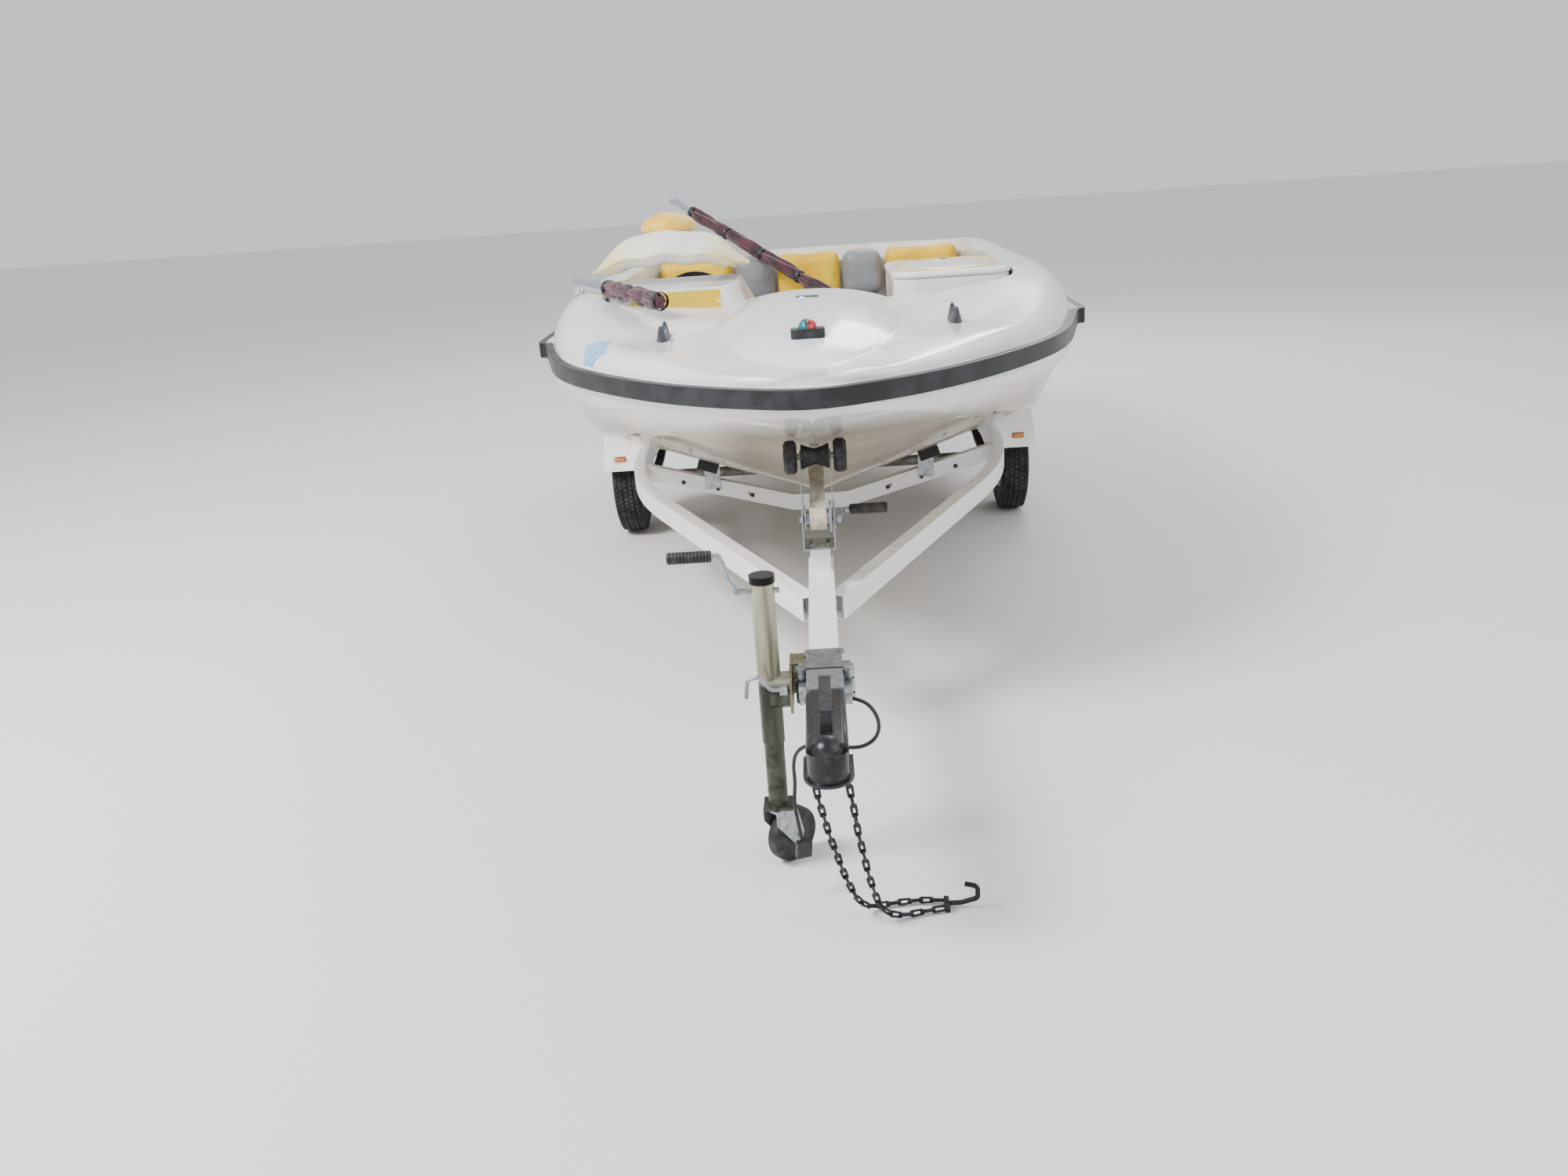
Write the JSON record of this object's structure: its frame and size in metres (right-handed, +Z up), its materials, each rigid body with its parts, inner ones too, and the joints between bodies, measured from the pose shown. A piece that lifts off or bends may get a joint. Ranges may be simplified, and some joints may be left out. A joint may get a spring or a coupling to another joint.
{
  "type": "jet boat on trailer",
  "caption": "Small open jet boat with bench seat, helm console, jet drive and furled sun top, strapped to a single-axle trailer with folding tongue, winch and jack.",
  "frame": {"origin": "on the ground, under the middle of the length and width of the boat and trailer", "axes": "+Y from the trailer coupler towards the stern, +Z up, +X towards the port side of the boat"},
  "size_m": [2.1, 5.35, 1.5549],
  "materials": {
    "white_gelcoat": "polished gelcoat over glass fibre laminate",
    "black_rubber": "satin moulded rubber",
    "yellow_vinyl": "coated marine upholstery fabric",
    "grey_vinyl": "coated marine upholstery fabric",
    "cream_foam": "integral skin foam, faded",
    "yellow_foam": "integral skin foam",
    "black_plastic": "moulded, fine grain",
    "lamp_lens": "moulded translucent",
    "side_lens": "moulded translucent",
    "maroon_canvas": "woven acrylic canvas",
    "polished_tube": "polished tube",
    "white_steel": "gloss powder coat",
    "zinc_steel": "bright zinc plate",
    "yellow_zinc": "yellow zinc plate, dulled",
    "black_steel": "black paint",
    "grey_cast": "sand cast and machined",
    "stainless": "polished",
    "tyre_rubber": "moulded tread",
    "rim_paint": "white enamel",
    "carpeted_wood": "timber under black carpet",
    "webbing": "woven polyester strap",
    "cable_jacket": "extruded jacket",
    "jet_cast": "painted casting"
  },
  "bodies": {
    "boat_on_trailer": {"axle": "zinc_steel", "bow_cleats": "black_plastic", "bow_eye": "stainless", "bow_stop": "black_rubber", "bunks": "carpeted_wood", "cockpit_liner": "white_gelcoat", "crossmembers": "white_steel", "deck": "white_gelcoat", "engine_block": "grey_cast", "fenders": "white_steel", "frame_brackets": "zinc_steel", "frame_rails": "white_steel", "helm_console": "white_gelcoat", "helm_cowl": "cream_foam", "helm_pad": "yellow_foam", "hull": "white_gelcoat", "jack_bracket": "zinc_steel", "jet_pump": "jet_cast", "leaf_springs": "black_steel", "nav_light_base": "black_plastic", "nav_light_lenses": "side_lens", "rub_rail": "black_rubber", "seat_backs": "yellow_vinyl", "seat_bolsters": "grey_vinyl", "seat_cushions": "grey_vinyl", "stowage_box": "white_gelcoat", "tongue": "white_steel", "tongue_hinge_rear": "zinc_steel", "top_canvas": "maroon_canvas", "top_frame": "polished_tube", "trailer_lights": "lamp_lens", "winch_drum": "zinc_steel", "winch_frame": "zinc_steel", "winch_grip": "black_rubber", "winch_strap": "webbing"},
    "wheel_port": {"tyre_port": "tyre_rubber", "rim_port": "rim_paint"},
    "wheel_starboard": {"tyre_starboard": "tyre_rubber", "rim_starboard": "rim_paint"},
    "tongue_front_end": {"tongue_front": "white_steel", "tongue_hinge_front": "zinc_steel", "coupler": "black_steel", "coupler_latch": "black_steel", "chain_port": "black_steel", "chain_starboard": "black_steel", "chain_hook": "black_steel", "wiring_lead": "cable_jacket", "lead_plug": "black_plastic"},
    "jack": {"jack_tube": "yellow_zinc", "jack_crank_and_pin": "zinc_steel", "jack_grip": "black_rubber"},
    "jack_inner_leg": {"jack_leg": "zinc_steel"},
    "jack_caster": {"jack_fork": "zinc_steel"},
    "jack_roller": {"jack_wheel": "black_rubber"},
    "helm_wheel": {"steering_wheel": "black_plastic"},
    "nozzle": {"steering_nozzle": "jet_cast"},
    "bucket": {"reverse_bucket": "jet_cast"},
    "rotor": {"impeller": "stainless"},
    "hatch": {"engine_hatch": "white_gelcoat"},
    "stowage_cover": {"stowage_lid": "white_gelcoat"}
  },
  "joints": [
    {"name": "wheel_port_spin", "type": "hinge", "parent": "boat_on_trailer", "child": "wheel_port", "pos_m": [0.933, 0.97, 0.265], "axis": [1, 0, 0], "continuous": true},
    {"name": "wheel_starboard_spin", "type": "hinge", "parent": "boat_on_trailer", "child": "wheel_starboard", "pos_m": [-0.933, 0.97, 0.265], "axis": [1, 0, 0], "continuous": true},
    {"name": "tongue_fold", "type": "hinge", "parent": "boat_on_trailer", "child": "tongue_front_end", "pos_m": [0.058, -2.23, 0.49], "axis": [0, 0, 1], "range_deg": [0, 110]},
    {"name": "jack_swing", "type": "hinge", "parent": "boat_on_trailer", "child": "jack", "pos_m": [-0.0863, -2.23, 0.484], "axis": [1, 0, 0], "range_deg": [0, 90]},
    {"name": "jack_extend", "type": "slide", "parent": "jack", "child": "jack_inner_leg", "axis": [0, 0, 1], "range_m": [-0.075, 0.16]},
    {"name": "jack_caster_swivel", "type": "hinge", "parent": "jack_inner_leg", "child": "jack_caster", "pos_m": [-0.135, -2.23, 0.1], "axis": [0, 0, 1], "continuous": true},
    {"name": "jack_wheel_spin", "type": "hinge", "parent": "jack_caster", "child": "jack_roller", "pos_m": [-0.10813, -2.20313, 0.072], "axis": [0.7071, -0.7071, 0], "continuous": true},
    {"name": "steering_wheel_turn", "type": "hinge", "parent": "boat_on_trailer", "child": "helm_wheel", "pos_m": [-0.5, 0.612, 1.12], "axis": [0, 0.9063, 0.4226], "range_deg": [-135, 135]},
    {"name": "nozzle_steer", "type": "hinge", "parent": "boat_on_trailer", "child": "nozzle", "pos_m": [0, 2.496, 0.465], "axis": [0, 0, 1], "range_deg": [-22.5, 22.5]},
    {"name": "bucket_tilt", "type": "hinge", "parent": "boat_on_trailer", "child": "bucket", "pos_m": [0, 2.462, 0.465], "axis": [1, 0, 0], "range_deg": [-62, 0]},
    {"name": "impeller_spin", "type": "hinge", "parent": "boat_on_trailer", "child": "rotor", "pos_m": [0, 2.38, 0.465], "axis": [0, 1, 0], "continuous": true},
    {"name": "engine_hatch_open", "type": "hinge", "parent": "boat_on_trailer", "child": "hatch", "pos_m": [0, 1.786, 1.27], "axis": [1, 0, 0], "range_deg": [0, 80]},
    {"name": "stowage_lid_open", "type": "hinge", "parent": "boat_on_trailer", "child": "stowage_cover", "pos_m": [0, -0.178, 1.2533], "axis": [1, 0, 0], "range_deg": [0, 85]}
  ],
  "couplings": [
    {"joint": "nozzle_steer", "follows": "steering_wheel_turn", "ratio": -0.16667}
  ]
}
